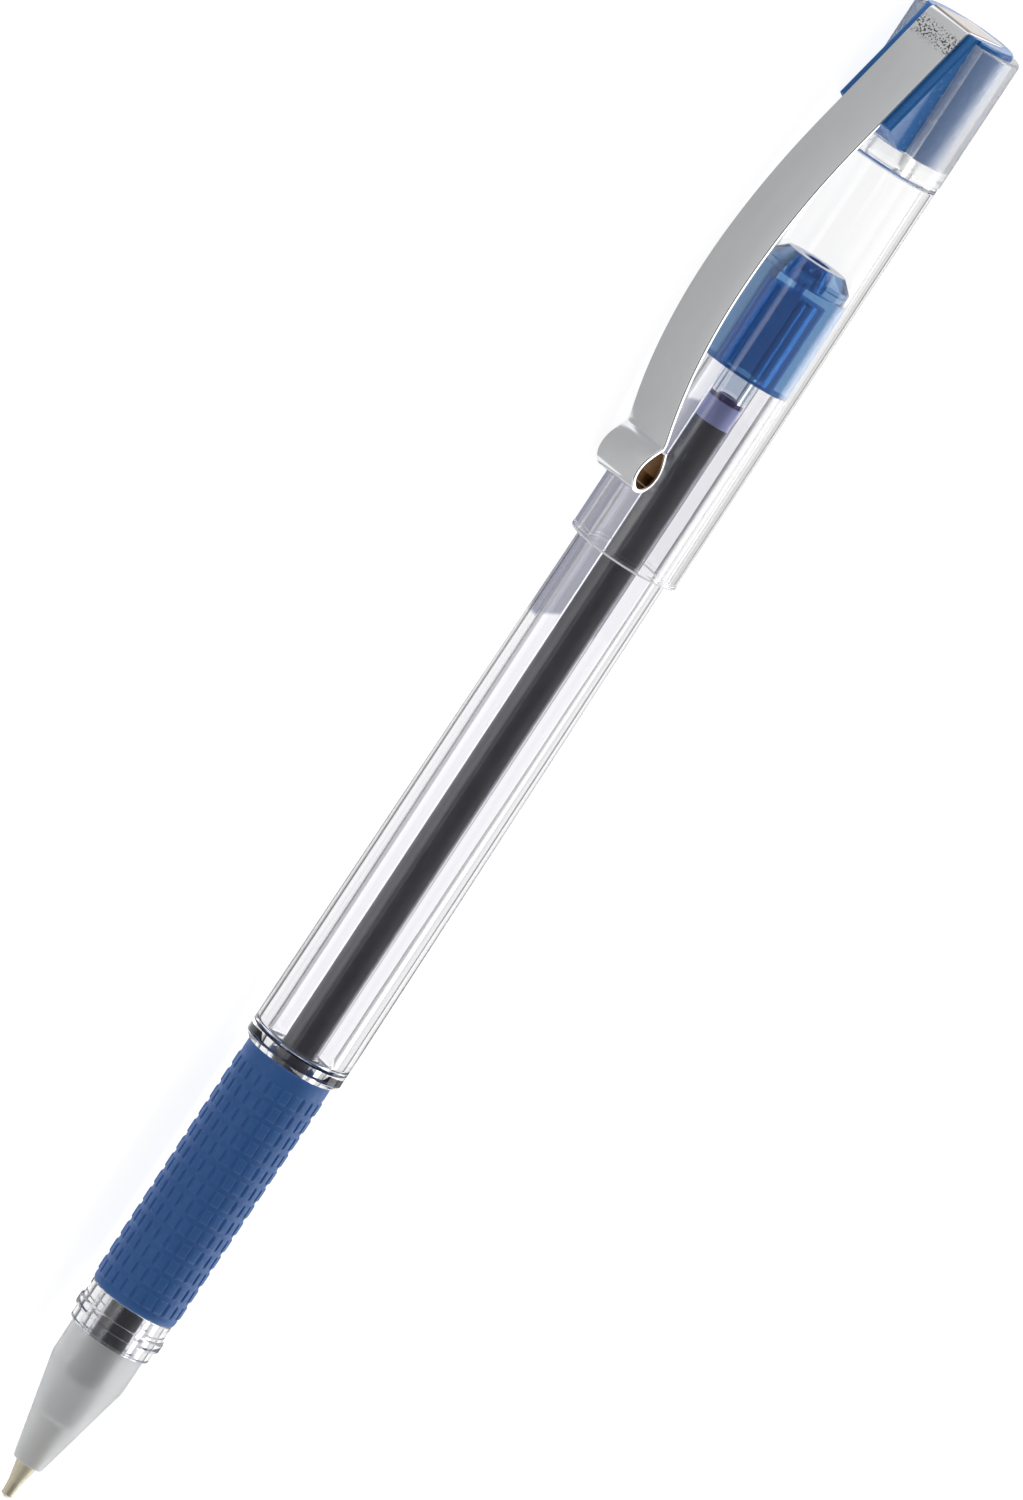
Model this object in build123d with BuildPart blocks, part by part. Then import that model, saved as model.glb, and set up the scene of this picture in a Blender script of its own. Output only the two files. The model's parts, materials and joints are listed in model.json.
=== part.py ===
"""Clear-barrelled gel pen with its cap posted on the rear of the barrel, lying on a table.

Frame: the origin is the writing point, on the pen's axis. +X is the way the pen writes, from the
crown towards the point, so the pen lies along -X. +Z is up. The pen lies as it rests, on the head
of its cap and the lower edge of its clip, so the clip points towards -Y and a little downwards.

Every station below is a distance in mm back from the writing point along the axis, and every
profile is drawn on the plane `side`, whose local x is that distance and whose local y is the
distance from the axis towards the clip.
"""

from build123d import *
from math import asin, atan2, cos, degrees, hypot, sin
import os

os.makedirs("parts", exist_ok=True)

# ---- driving dimensions ---------------------------------------------------------------------

# Metal point and its ball
BALL_R = 0.35
BALL_PROUD = 0.20  # how far the ball stands out of its socket
BALL_PLAY = 0.02  # clearance all round the ball
TIP_NOSE_R = 0.54  # rounded end of the metal point
TIP_CONE_START, TIP_CONE_R = 1.66, 0.63
TIP_SHANK_START, TIP_SHANK_R = 4.15, 1.15
TIP_REAR = 11.6
INK_CHANNEL_R = 0.40

# Nose cone, screwed into the front of the barrel
NOSE_FRONT, NOSE_FRONT_R = 3.80, 1.49
NOSE_BREAK, NOSE_R = 13.95, 3.75  # where the cone becomes a cylinder
NOSE_BORE_R = 2.05  # round the refill
NOSE_BORE_FRONT = 8.60
SPIGOT_R = 3.00
SPIGOT_REAR = 24.00
NOSE_PLAY = 0.05  # clearance round the metal point and round the spigot

# Barrel
COLLAR_FRONT = 17.55
COLLAR_R = 4.15
BEAD_FRONT, BEAD_REAR, BEAD_R = 18.85, 19.95, 4.45
BEAD_ROUND = 0.20
NECK_R = 4.22
GRIP_FRONT, GRIP_REAR = 21.25, 48.10
GRIP_SEAT_R = 3.75
GRIP_FRONT_R, GRIP_REAR_R = 4.42, 4.50
GRIP_EDGE = 0.30  # rounding of the grip's two ends
FLANGE_ROOT_R, FLANGE_R = 4.55, 5.00
FLANGE_CREST = 48.60
LAND_REAR = 52.60  # end of the straight land behind the flange
WAIST, WAIST_R = 101.0, 4.67
BARREL_REAR, BARREL_REAR_R = 133.60, 4.53
FRONT_BORE_R = SPIGOT_R + NOSE_PLAY
THROAT_REAR, THROAT_R = 49.30, 2.45  # narrow bore under the grip
BARREL_BORE_R = 3.75
BORE_ROUND = 0.90  # rounding where the throat opens into the wide bore

# Tail plug
PLUG_FRONT = 123.00
PLUG_HEAD_R = 4.10
PLUG_END, PLUG_END_R = 135.70, 3.00
PLUG_CHAMFER_START = 134.60
SOCKET_R, SOCKET_END = 1.97, 132.30
BREATHER_R, BREATHER_FLOOR = 1.32, 133.40
VENT_R = 0.30

# Refill
TUBE_FRONT, TUBE_REAR = 12.60, 132.00
TUBE_R, TUBE_BORE_R = 1.90, 1.10
HOLDER_FRONT, HOLDER_REAR = 9.00, 16.00
INK_REAR, FOLLOWER_REAR = 118.15, 121.15

# Cap
LIP, LIP_BORE_R = 103.40, 4.90
CAP_R = 5.52
CEILING, CEILING_BORE_R = 146.70, 4.62
HEAD_FRONT, HEAD_REAR, HEAD_R = 147.10, 160.30, 5.60
HEAD_ROUND = 0.30
HEAD_BORE_R = 4.65
POINT_HOLE_R = 2.00  # lets the nose cone through the ceiling when the pen is capped
SLOT_FRONT = 148.60
SLOT_LEVEL = 3.10  # height of the flat cut on the clip's side of the head

# Crown insert
INSERT_END = 160.75
SADDLE_HALF_W = 3.48
SADDLE_TOP_START, SADDLE_TOP_R = 150.00, 6.90
SADDLE_BOTTOM_START, SADDLE_KNEE_R = 148.65, 4.20
SADDLE_END_R = 3.12
SADDLE_ROUND = 0.30
POINT_SOCKET_R, POINT_SOCKET_END = 1.60, 152.80

# Clip, one steel strip
CLIP_W, CLIP_T = 5.06, 0.48
CLIP_TAB_END_R = -2.95  # lower end of the tab folded over the crown
CLIP_BEND_R = 0.70  # outer radius of the fold
CLIP_SPLIT = 150.20  # where the strip leaves the saddle and starts to flex
CLIP_TAB_ROUND = 0.80
CLIP_ARCH_REAR = 146.50  # where the straight strip starts to arch
CLIP_CREST, CLIP_CREST_R = 132.00, 11.30  # outer face of the strip at its highest
CLIP_FALL = ((123.10, 10.28), (117.40, 8.56))  # the middle of the strip on its way down
CLIP_NECK = (114.75, 7.45)  # crease where the strip turns up into its loop
LOOP_TOP = ((113.70, 8.38), (112.60, 8.96), (111.30, 8.90))
LOOP_TIP = ((110.24, 7.55), (110.62, 6.45))
LOOP_LOW, LOOP_END = 111.85, (114.35, 6.85)
LOOP_CLEARANCE = 0.15  # from the loop to the cap

# ---- frame ----------------------------------------------------------------------------------

# The lower edge of the clip's crest touches the same surface as the head of the cap.
crest_reach = hypot(CLIP_CREST_R, CLIP_W / 2)
crest_half_angle = atan2(CLIP_W / 2, CLIP_CREST_R)
clip_drop = asin(HEAD_R / crest_reach) - crest_half_angle  # the clip points this far below level

side = Plane(origin=(0, 0, 0), x_dir=(-1, 0, 0), z_dir=(0, -sin(clip_drop), cos(clip_drop)))
pen_axis = Axis((0, 0, 0), (1, 0, 0))
print(f"clip points {degrees(clip_drop):.2f} degrees below level")


def section(*points):
    """A closed straight-sided outline on `side`, from (station, radius) points."""
    with BuildSketch(side) as outline:
        with BuildLine():
            Polyline(*points, close=True)
        make_face()
    return outline.sketch


def across(station):
    """The plane square to the axis at a station, facing the crown."""
    return Plane(origin=(-station, 0, 0), x_dir=side.y_dir, z_dir=(-1, 0, 0))


def circles_at(piece, station, radius):
    """The circular edges of a piece at one station and radius."""
    rings = piece.edges().filter_by(GeomType.CIRCLE)
    return rings.filter_by(
        lambda ring: abs(ring.arc_center.X + station) < 0.01 and abs(ring.radius - radius) < 0.01
    )


# ---- refill ---------------------------------------------------------------------------------

ball_centre = BALL_R
socket_lip = BALL_PROUD
socket_r = BALL_R + BALL_PLAY

with BuildPart() as writing_ball:
    with Locations((-ball_centre, 0, 0)):
        Sphere(BALL_R)
writing_ball.part.label = "writing_ball"
export_step(writing_ball.part, "parts/writing_ball.step")

with BuildPart() as point_tip:
    with BuildSketch(side):
        with BuildLine():
            nose = Polyline((socket_lip, 0), (socket_lip, TIP_NOSE_R - 0.12))
            dome = TangentArc(nose @ 1, (TIP_NOSE_R, TIP_NOSE_R), tangent=(0.35, 1))
            Polyline(
                dome @ 1,
                (TIP_CONE_START, TIP_CONE_R),
                (TIP_SHANK_START, TIP_SHANK_R),
                (TIP_REAR, TIP_SHANK_R),
                (TIP_REAR, 0),
                nose @ 0,
            )
        make_face()
    revolve(axis=pen_axis)
    with Locations((-ball_centre, 0, 0)):
        Sphere(socket_r, mode=Mode.SUBTRACT)
    with BuildSketch(across(ball_centre)):
        Circle(INK_CHANNEL_R / 2)
    extrude(amount=TIP_REAR, mode=Mode.SUBTRACT)
    with BuildSketch(across(TIP_CONE_START)):
        Circle(INK_CHANNEL_R)
    extrude(amount=TIP_REAR, mode=Mode.SUBTRACT)
point_tip.part.label = "point_tip"
export_step(point_tip.part, "parts/point_tip.step")

with BuildPart() as tip_holder:
    revolve(
        section(
            (HOLDER_FRONT, TIP_SHANK_R),
            (HOLDER_FRONT, TUBE_R - 0.3),
            (HOLDER_FRONT + 0.5, TUBE_R),
            (TUBE_FRONT, TUBE_R),
            (TUBE_FRONT, TUBE_BORE_R),
            (HOLDER_REAR, TUBE_BORE_R),
            (HOLDER_REAR, INK_CHANNEL_R * 1.6),
            (TIP_REAR, INK_CHANNEL_R * 1.6),
            (TIP_REAR, TIP_SHANK_R),
        ),
        axis=pen_axis,
    )
tip_holder.part.label = "tip_holder"
export_step(tip_holder.part, "parts/tip_holder.step")

with BuildPart() as ink_tube:
    revolve(
        section(
            (TUBE_FRONT, TUBE_BORE_R), (TUBE_FRONT, TUBE_R), (TUBE_REAR, TUBE_R), (TUBE_REAR, TUBE_BORE_R)
        ),
        axis=pen_axis,
    )
ink_tube.part.label = "ink_tube"
export_step(ink_tube.part, "parts/ink_tube.step")

with BuildPart() as gel_ink:
    revolve(
        section((HOLDER_REAR, 0), (HOLDER_REAR, TUBE_BORE_R), (INK_REAR, TUBE_BORE_R), (INK_REAR, 0)),
        axis=pen_axis,
    )
gel_ink.part.label = "gel_ink"
export_step(gel_ink.part, "parts/gel_ink.step")

with BuildPart() as ink_follower:
    revolve(
        section((INK_REAR, 0), (INK_REAR, TUBE_BORE_R), (FOLLOWER_REAR, TUBE_BORE_R), (FOLLOWER_REAR, 0)),
        axis=pen_axis,
    )
ink_follower.part.label = "ink_follower"
export_step(ink_follower.part, "parts/ink_follower.step")

# ---- nose cone ------------------------------------------------------------------------------

seat_r = TIP_SHANK_R + NOSE_PLAY
tip_slope = (TIP_SHANK_R - TIP_CONE_R) / (TIP_SHANK_START - TIP_CONE_START)
mouth_r = seat_r - tip_slope * (TIP_SHANK_START - NOSE_FRONT)

with BuildPart() as nose_cone:
    revolve(
        section(
            (NOSE_FRONT, mouth_r),
            (NOSE_FRONT, NOSE_FRONT_R - 0.1),
            (NOSE_FRONT + 0.1, NOSE_FRONT_R),
            (NOSE_BREAK, NOSE_R),
            (COLLAR_FRONT, NOSE_R),
            (COLLAR_FRONT, SPIGOT_R),
            (SPIGOT_REAR, SPIGOT_R),
            (SPIGOT_REAR, NOSE_BORE_R),
            (NOSE_BORE_FRONT + 0.4, NOSE_BORE_R),
            (NOSE_BORE_FRONT, seat_r),
            (TIP_SHANK_START, seat_r),
        ),
        axis=pen_axis,
    )
nose_cone.part.label = "nose_cone"
export_step(nose_cone.part, "parts/nose_cone.step")

# ---- barrel, grip and tail plug -------------------------------------------------------------

front_bore_rear = SPIGOT_REAR + 0.5

with BuildPart() as barrel:
    revolve(
        section(
            (COLLAR_FRONT, FRONT_BORE_R),
            (COLLAR_FRONT, COLLAR_R),
            (BEAD_FRONT, COLLAR_R),
            (BEAD_FRONT, BEAD_R),
            (BEAD_REAR, BEAD_R),
            (BEAD_REAR, NECK_R),
            (GRIP_FRONT, NECK_R),
            (GRIP_FRONT, GRIP_SEAT_R),
            (GRIP_REAR, GRIP_SEAT_R),
            (GRIP_REAR, FLANGE_ROOT_R),
            (FLANGE_CREST, FLANGE_R),
            (LAND_REAR, FLANGE_R),
            (WAIST, WAIST_R),
            (BARREL_REAR, BARREL_REAR_R),
            (BARREL_REAR, BARREL_BORE_R),
            (THROAT_REAR, BARREL_BORE_R),
            (THROAT_REAR, THROAT_R),
            (front_bore_rear, THROAT_R),
            (front_bore_rear, FRONT_BORE_R),
        ),
        axis=pen_axis,
    )
    fillet(circles_at(barrel, THROAT_REAR, BARREL_BORE_R), radius=BORE_ROUND)
    for station, radius in ((BEAD_FRONT, BEAD_R), (BEAD_REAR, BEAD_R)):
        fillet(circles_at(barrel, station, radius), radius=BEAD_ROUND)
    chamfer(circles_at(barrel, COLLAR_FRONT, COLLAR_R), length=0.2)
    fillet(circles_at(barrel, BARREL_REAR, BARREL_REAR_R), radius=0.12)
barrel.part.label = "barrel"
export_step(barrel.part, "parts/barrel.step")

with BuildPart() as grip_sleeve:
    revolve(
        section(
            (GRIP_FRONT, GRIP_SEAT_R),
            (GRIP_FRONT, GRIP_FRONT_R),
            (GRIP_REAR, GRIP_REAR_R),
            (GRIP_REAR, GRIP_SEAT_R),
        ),
        axis=pen_axis,
    )
    for station, radius in ((GRIP_FRONT, GRIP_FRONT_R), (GRIP_REAR, GRIP_REAR_R)):
        fillet(circles_at(grip_sleeve, station, radius), radius=GRIP_EDGE)
grip_sleeve.part.label = "grip_sleeve"
export_step(grip_sleeve.part, "parts/grip_sleeve.step")

with BuildPart() as tail_plug:
    revolve(
        section(
            (PLUG_FRONT, SOCKET_R),
            (PLUG_FRONT, BARREL_BORE_R - 0.3),
            (PLUG_FRONT + 0.5, BARREL_BORE_R),
            (BARREL_REAR, BARREL_BORE_R),
            (BARREL_REAR, PLUG_HEAD_R),
            (PLUG_CHAMFER_START, PLUG_HEAD_R),
            (PLUG_END, PLUG_END_R),
            (PLUG_END, BREATHER_R),
            (BREATHER_FLOOR, BREATHER_R),
            (BREATHER_FLOOR, VENT_R),
            (SOCKET_END, VENT_R),
            (SOCKET_END, SOCKET_R),
        ),
        axis=pen_axis,
    )
tail_plug.part.label = "tail_plug"
export_step(tail_plug.part, "parts/tail_plug.step")

# ---- cap ------------------------------------------------------------------------------------

slot_top = HEAD_R + 1
slot_rear = HEAD_REAR + 1

with BuildPart() as cap_shell:
    revolve(
        section(
            (LIP, LIP_BORE_R),
            (LIP, CAP_R),
            (HEAD_FRONT, CAP_R),
            (HEAD_FRONT + 0.1, HEAD_R),
            (HEAD_REAR, HEAD_R),
            (HEAD_REAR, HEAD_BORE_R),
            (SLOT_FRONT, HEAD_BORE_R),
            (SLOT_FRONT, POINT_HOLE_R),
            (CEILING, POINT_HOLE_R),
            (CEILING, CEILING_BORE_R),
        ),
        axis=pen_axis,
    )
    fillet(circles_at(cap_shell, HEAD_REAR, HEAD_R), radius=HEAD_ROUND)
    fillet(circles_at(cap_shell, LIP, CAP_R), radius=0.2)
    fillet(circles_at(cap_shell, LIP, LIP_BORE_R), radius=0.2)
    fillet(circles_at(cap_shell, CEILING, CEILING_BORE_R), radius=0.5)
    extrude(
        section(
            (SLOT_FRONT, SLOT_LEVEL), (SLOT_FRONT, slot_top), (slot_rear, slot_top), (slot_rear, SLOT_LEVEL)
        ),
        amount=HEAD_R,
        both=True,
        mode=Mode.SUBTRACT,
    )
cap_shell.part.label = "cap_shell"
export_step(cap_shell.part, "parts/cap_shell.step")

saddle_floor = SLOT_LEVEL - 1  # the saddle is rooted this deep in the insert
insert_flat = SLOT_LEVEL - 0.4  # the round part of the insert stops below the head's flat cut

with BuildPart() as saddle:
    extrude(
        section(
            (SADDLE_BOTTOM_START, saddle_floor),
            (SADDLE_BOTTOM_START, SADDLE_KNEE_R),
            (SADDLE_TOP_START, SADDLE_TOP_R),
            (INSERT_END, SADDLE_END_R),
            (INSERT_END, saddle_floor),
        ),
        amount=SADDLE_HALF_W,
        both=True,
    )
    saddle_top = saddle.faces().sort_by(SortBy.AREA)[-2]  # only its underside is larger
    fillet(saddle_top.edges(), radius=SADDLE_ROUND)

with BuildPart() as crown_insert:
    revolve(
        section(
            (SLOT_FRONT, POINT_SOCKET_R),
            (SLOT_FRONT, HEAD_BORE_R),
            (INSERT_END, HEAD_BORE_R),
            (INSERT_END, 0),
            (POINT_SOCKET_END, 0),
            (POINT_SOCKET_END, POINT_SOCKET_R),
        ),
        axis=pen_axis,
    )
    chamfer(circles_at(crown_insert, INSERT_END, HEAD_BORE_R), length=0.15)
    extrude(
        section(
            (SLOT_FRONT - 1, insert_flat),
            (SLOT_FRONT - 1, slot_top),
            (slot_rear, slot_top),
            (slot_rear, insert_flat),
        ),
        amount=HEAD_R,
        both=True,
        mode=Mode.SUBTRACT,
    )
    add(saddle.part)
crown_insert.part.label = "crown_insert"
export_step(crown_insert.part, "parts/crown_insert.step")

# ---- clip -----------------------------------------------------------------------------------

saddle_slope = (SADDLE_TOP_R - SADDLE_END_R) / (INSERT_END - SADDLE_TOP_START)
strip_lift = CLIP_T / 2 * hypot(1, saddle_slope)  # the strip's middle above the saddle


def strip_r(station):
    """Radius of the strip's middle where it lies straight on the saddle."""
    return SADDLE_TOP_R - saddle_slope * (station - SADDLE_TOP_START) + strip_lift


tab_station = INSERT_END + CLIP_T / 2

with BuildPart() as clip_root:
    with BuildSketch(side):
        with BuildLine():
            FilletPolyline(
                (CLIP_SPLIT, strip_r(CLIP_SPLIT)),
                (tab_station, strip_r(tab_station)),
                (tab_station, CLIP_TAB_END_R),
                radius=CLIP_BEND_R - CLIP_T / 2,
            )
        trace(line_width=CLIP_T)
    extrude(amount=CLIP_W / 2, both=True)
    tab_corners = clip_root.edges().filter_by(Axis.X).group_by(Axis((0, 0, 0), side.y_dir))[0]
    fillet(tab_corners, radius=CLIP_TAB_ROUND)
clip_root.part.label = "clip_root"
export_step(clip_root.part, "parts/clip_root.step")

crest_r = CLIP_CREST_R - CLIP_T / 2
loop_low_r = CAP_R + LOOP_CLEARANCE + CLIP_T / 2

with BuildPart() as clip_arm:
    with BuildSketch(side):
        with BuildLine():
            Spline(
                (CLIP_SPLIT, strip_r(CLIP_SPLIT)),
                (CLIP_ARCH_REAR, strip_r(CLIP_ARCH_REAR)),
                (CLIP_CREST, crest_r),
                *CLIP_FALL,
                CLIP_NECK,
                tangents=((-1, saddle_slope), (-1, -0.42)),
            )
        trace(line_width=CLIP_T)
        with BuildLine():
            Spline(CLIP_NECK, *LOOP_TOP, *LOOP_TIP, (LOOP_LOW, loop_low_r), LOOP_END)
        trace(line_width=CLIP_T)
    extrude(amount=CLIP_W / 2, both=True)
clip_arm.part.label = "clip_arm"
export_step(clip_arm.part, "parts/clip_arm.step")
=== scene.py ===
"""Looks of the gel pen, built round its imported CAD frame.

Places are given in mm as (station, reach, across): station is the distance back from the writing point
along the axis, reach the distance from the axis towards the clip, and across the third direction.
"""

import json
import math

import bpy
import numpy as np
from mathutils import Matrix, Vector


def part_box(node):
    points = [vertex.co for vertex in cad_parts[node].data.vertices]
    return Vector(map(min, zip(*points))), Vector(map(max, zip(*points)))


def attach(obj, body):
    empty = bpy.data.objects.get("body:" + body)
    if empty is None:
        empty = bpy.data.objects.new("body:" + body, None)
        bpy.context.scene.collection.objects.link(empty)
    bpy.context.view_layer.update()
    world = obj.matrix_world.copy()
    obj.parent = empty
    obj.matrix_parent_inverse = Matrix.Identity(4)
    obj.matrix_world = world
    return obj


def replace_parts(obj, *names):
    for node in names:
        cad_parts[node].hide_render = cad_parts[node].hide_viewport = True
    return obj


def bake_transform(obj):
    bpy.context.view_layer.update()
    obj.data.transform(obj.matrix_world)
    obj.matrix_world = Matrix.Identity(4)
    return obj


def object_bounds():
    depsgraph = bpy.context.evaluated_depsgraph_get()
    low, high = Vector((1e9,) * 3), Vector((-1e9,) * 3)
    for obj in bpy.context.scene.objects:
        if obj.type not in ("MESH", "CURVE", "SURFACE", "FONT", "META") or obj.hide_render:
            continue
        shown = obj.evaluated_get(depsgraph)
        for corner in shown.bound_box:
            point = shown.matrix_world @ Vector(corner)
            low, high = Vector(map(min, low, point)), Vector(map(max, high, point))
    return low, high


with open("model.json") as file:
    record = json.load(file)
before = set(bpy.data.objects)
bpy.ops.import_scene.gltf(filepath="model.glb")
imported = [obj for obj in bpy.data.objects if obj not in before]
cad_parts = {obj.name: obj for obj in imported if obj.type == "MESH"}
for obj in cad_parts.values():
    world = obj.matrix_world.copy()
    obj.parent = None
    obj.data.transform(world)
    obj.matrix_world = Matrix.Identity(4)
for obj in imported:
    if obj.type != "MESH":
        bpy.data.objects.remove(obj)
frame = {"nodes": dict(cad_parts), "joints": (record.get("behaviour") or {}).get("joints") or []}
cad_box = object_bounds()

MM = 0.001

# ---- frame --------------------------------------------------------------------------------------

clip_flex = next(joint for joint in frame["joints"] if joint["name"] == "clip_flex")
CROWN = Vector((-1, 0, 0))  # from the point towards the crown
ACROSS = -Vector(clip_flex["axis"]).normalized()
OUTWARD = ACROSS.cross(CROWN)  # from the axis towards the clip


def place(station, reach=0.0, across=0.0):
    """A point of the row frame, in metres."""
    return (CROWN * station + OUTWARD * reach + ACROSS * across) * MM


def station_of(x):
    return -x / MM


def span(node):
    """Front and rear station of a CAD node."""
    low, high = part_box(node)
    return station_of(high.x), station_of(low.x)


# ---- measures that several pieces and looks share (mm) ------------------------------------------

collar_front, barrel_rear = span("barrel")  # the nose meets the barrel at its collar
BORE_R = 3.75  # of the barrel
nose_front, spigot_end = span("nose_cone")
plug_end = span("tail_plug")[1]
lip, head_rear = span("cap_shell")
HEAD_FRONT = 147.15  # the cap's frosted head starts here
insert_end = span("crown_insert")[1]
tube_front, tube_rear = span("ink_tube")
ink_rear = span("gel_ink")[1]
follower_rear = span("ink_follower")[1]

# ---- mesh helpers -------------------------------------------------------------------------------

CORNER_STEPS = 6


def rounded(outline):
    """Points of a closed outline whose corners (x, y, radius) are rounded."""
    points = []
    for here, corner in enumerate(outline):
        at = Vector(corner[:2])
        radius = corner[2] if len(corner) > 2 else 0
        if not radius:
            points.append(tuple(at))
            continue
        before = (Vector(outline[here - 1][:2]) - at).normalized()
        after = (Vector(outline[(here + 1) % len(outline)][:2]) - at).normalized()
        half = before.angle(after) / 2
        centre = at + (before + after).normalized() * radius / math.sin(half)
        start, end = at + before * radius / math.tan(half), at + after * radius / math.tan(half)
        for step in range(CORNER_STEPS + 1):
            arm = (start - centre).lerp(end - centre, step / CORNER_STEPS).normalized() * radius
            points.append(tuple(centre + arm))
    return points


def finish_mesh(name, vertices, faces, body, material, crease=32):
    """Makes a piece from its mesh, turns its faces outwards and lets it ride on a body, if one is given.

    Edges that bend by more than `crease` degrees stay sharp.
    """
    mesh = bpy.data.meshes.new(name)
    mesh.from_pydata(vertices, [], faces)
    mesh.update()
    piece = bpy.data.objects.new(name, mesh)
    bpy.context.scene.collection.objects.link(piece)
    bpy.context.view_layer.objects.active = piece
    piece.select_set(True)
    bpy.ops.object.mode_set(mode="EDIT")
    bpy.ops.mesh.select_all(action="SELECT")
    bpy.ops.mesh.normals_make_consistent(inside=False)
    bpy.ops.object.mode_set(mode="OBJECT")
    piece.select_set(False)
    mesh.shade_smooth()
    mesh.set_sharp_from_angle(angle=math.radians(crease))
    mesh.materials.append(material)
    if body:
        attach(piece, body)
    return piece


def lathe(name, outline, body, material, steps=144, crease=32):
    """A solid of revolution about the pen's axis, from a closed outline of (station, radius, rounding)."""
    vertices, faces, rings = [], [], []
    for station, radius in rounded(outline):
        if radius < 1e-6:
            vertices.append(place(station))
            rings.append([len(vertices) - 1] * steps)
            continue
        start = len(vertices)
        for step in range(steps):
            turn = 2 * math.pi * step / steps
            vertices.append(place(station, radius * math.cos(turn), radius * math.sin(turn)))
        rings.append(list(range(start, start + steps)))
    for one, two in zip(rings, rings[1:] + rings[:1]):
        for step in range(steps):
            after = (step + 1) % steps
            corners = list(dict.fromkeys((one[step], one[after], two[after], two[step])))
            if len(corners) > 2:
                faces.append(corners)
    return finish_mesh(name, vertices, faces, body, material, crease)


# ---- materials ----------------------------------------------------------------------------------


class Look:
    """A node material with a Principled shader, with short ways to add what varies over it."""

    def __init__(self, name, **settings):
        self.material = bpy.data.materials.new(name)
        self.material.use_nodes = True
        self.tree = self.material.node_tree
        self.shader = self.tree.nodes["Principled BSDF"]
        self.output = self.tree.nodes["Material Output"]
        for socket, value in settings.items():
            self.shader.inputs[socket.replace("_", " ")].default_value = value
        self.where = self.add("ShaderNodeTexCoord").outputs["Object"]

    def add(self, kind, **settings):
        node = self.tree.nodes.new(kind)
        for setting, value in settings.items():
            setattr(node, setting, value)
        return node

    def join(self, source, target):
        self.tree.links.new(source, target)

    def value(self, target, value):
        """Feeds a socket from another one, or sets it to a number."""
        if hasattr(value, "node"):
            self.join(value, target)
        else:
            target.default_value = value

    def maths(self, operation, *values):
        node = self.add("ShaderNodeMath", operation=operation)
        for socket, value in zip(node.inputs, values):
            self.value(socket, value)
        return node.outputs[0]

    def station(self):
        """The distance back from the writing point, in mm."""
        parts = self.add("ShaderNodeSeparateXYZ")
        self.join(self.where, parts.inputs[0])
        return self.maths("MULTIPLY", parts.outputs["X"], -1 / MM)

    def ramp(self, source, low, high, at_low=0.0, at_high=1.0):
        """A number that goes smoothly from at_low to at_high as source goes from low to high."""
        node = self.add("ShaderNodeMapRange", interpolation_type="SMOOTHSTEP")
        for socket, value in zip(node.inputs, (source, low, high, at_low, at_high)):
            self.value(socket, value)
        return node.outputs[0]

    def noise(self, size, detail=3.0, stretch=(1, 1, 1)):
        """Noise from 0 to 1 whose grain is `size` mm, drawn out by `stretch`."""
        mapping = self.add("ShaderNodeMapping")
        mapping.inputs["Scale"].default_value = [1 / (MM * size * long) for long in stretch]
        self.join(self.where, mapping.inputs["Vector"])
        node = self.add("ShaderNodeTexNoise")
        node.inputs["Scale"].default_value = 1.0
        node.inputs["Detail"].default_value = detail
        self.join(mapping.outputs[0], node.inputs["Vector"])
        return node.outputs["Fac"]

    def mix(self, share, one, two):
        """A colour between two others."""
        node = self.add("ShaderNodeMix", data_type="RGBA")
        self.value(node.inputs["Factor"], share)
        for socket, colour in ((node.inputs[6], one), (node.inputs[7], two)):
            self.value(socket, colour if hasattr(colour, "node") else (*colour, 1))
        return node.outputs[2]

    def roughness(self, source):
        self.value(self.shader.inputs["Roughness"], source)

    def colour(self, source):
        self.value(self.shader.inputs["Base Color"], source)

    def bump(self, source, height):
        """Bumps `height` mm high."""
        node = self.add("ShaderNodeBump")
        node.inputs["Distance"].default_value = height * MM
        self.join(source, node.inputs["Height"])
        self.join(node.outputs[0], self.shader.inputs["Normal"])

    def lets_lamps_through(self, tint):
        """Lets light on its way to what is inside pass unbent, as it all but does in a thin wall."""
        path = self.add("ShaderNodeLightPath")
        clear = self.add("ShaderNodeBsdfTransparent")
        clear.inputs["Color"].default_value = (*tint, 1)
        surface = self.shader.outputs[0]
        for ray in ("Is Diffuse Ray", "Is Shadow Ray"):
            blend = self.add("ShaderNodeMixShader")
            self.join(path.outputs[ray], blend.inputs[0])
            self.join(surface, blend.inputs[1])
            self.join(clear.outputs[0], blend.inputs[2])
            surface = blend.outputs[0]
        self.join(surface, self.output.inputs["Surface"])


def dress(node, look):
    """Gives a CAD node its material."""
    for slot in frame["nodes"][node].material_slots:
        slot.material = look.material


def clear_plastic(name, tint, clear=0.0, haze=0.02):
    """Plastic whose roughness wanders between `clear` and `haze`, with faint drawing lines."""
    look = Look(name, Base_Color=(*tint, 1), Transmission_Weight=1.0, IOR=1.5)
    look.roughness(look.ramp(look.noise(2.5, 4), 0.35, 0.75, clear, haze))  # handling marks
    look.bump(look.noise(3.0, 2, stretch=(6, 1, 1)), 0.012)
    look.lets_lamps_through([0.97 * part for part in tint])
    return look


barrel_look = clear_plastic("barrel_plastic", (0.958, 0.956, 0.976))
TUBE_TINT = (0.94, 0.95, 0.97)
tube_look = clear_plastic("tube_plastic", TUBE_TINT, 0.02, 0.06)
film = tube_look.ramp(tube_look.station(), follower_rear - 0.05, follower_rear + 0.15)
tube_look.colour(tube_look.mix(film, TUBE_TINT, (0.72, 0.78, 0.84)))  # what the follower leaves behind

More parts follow.
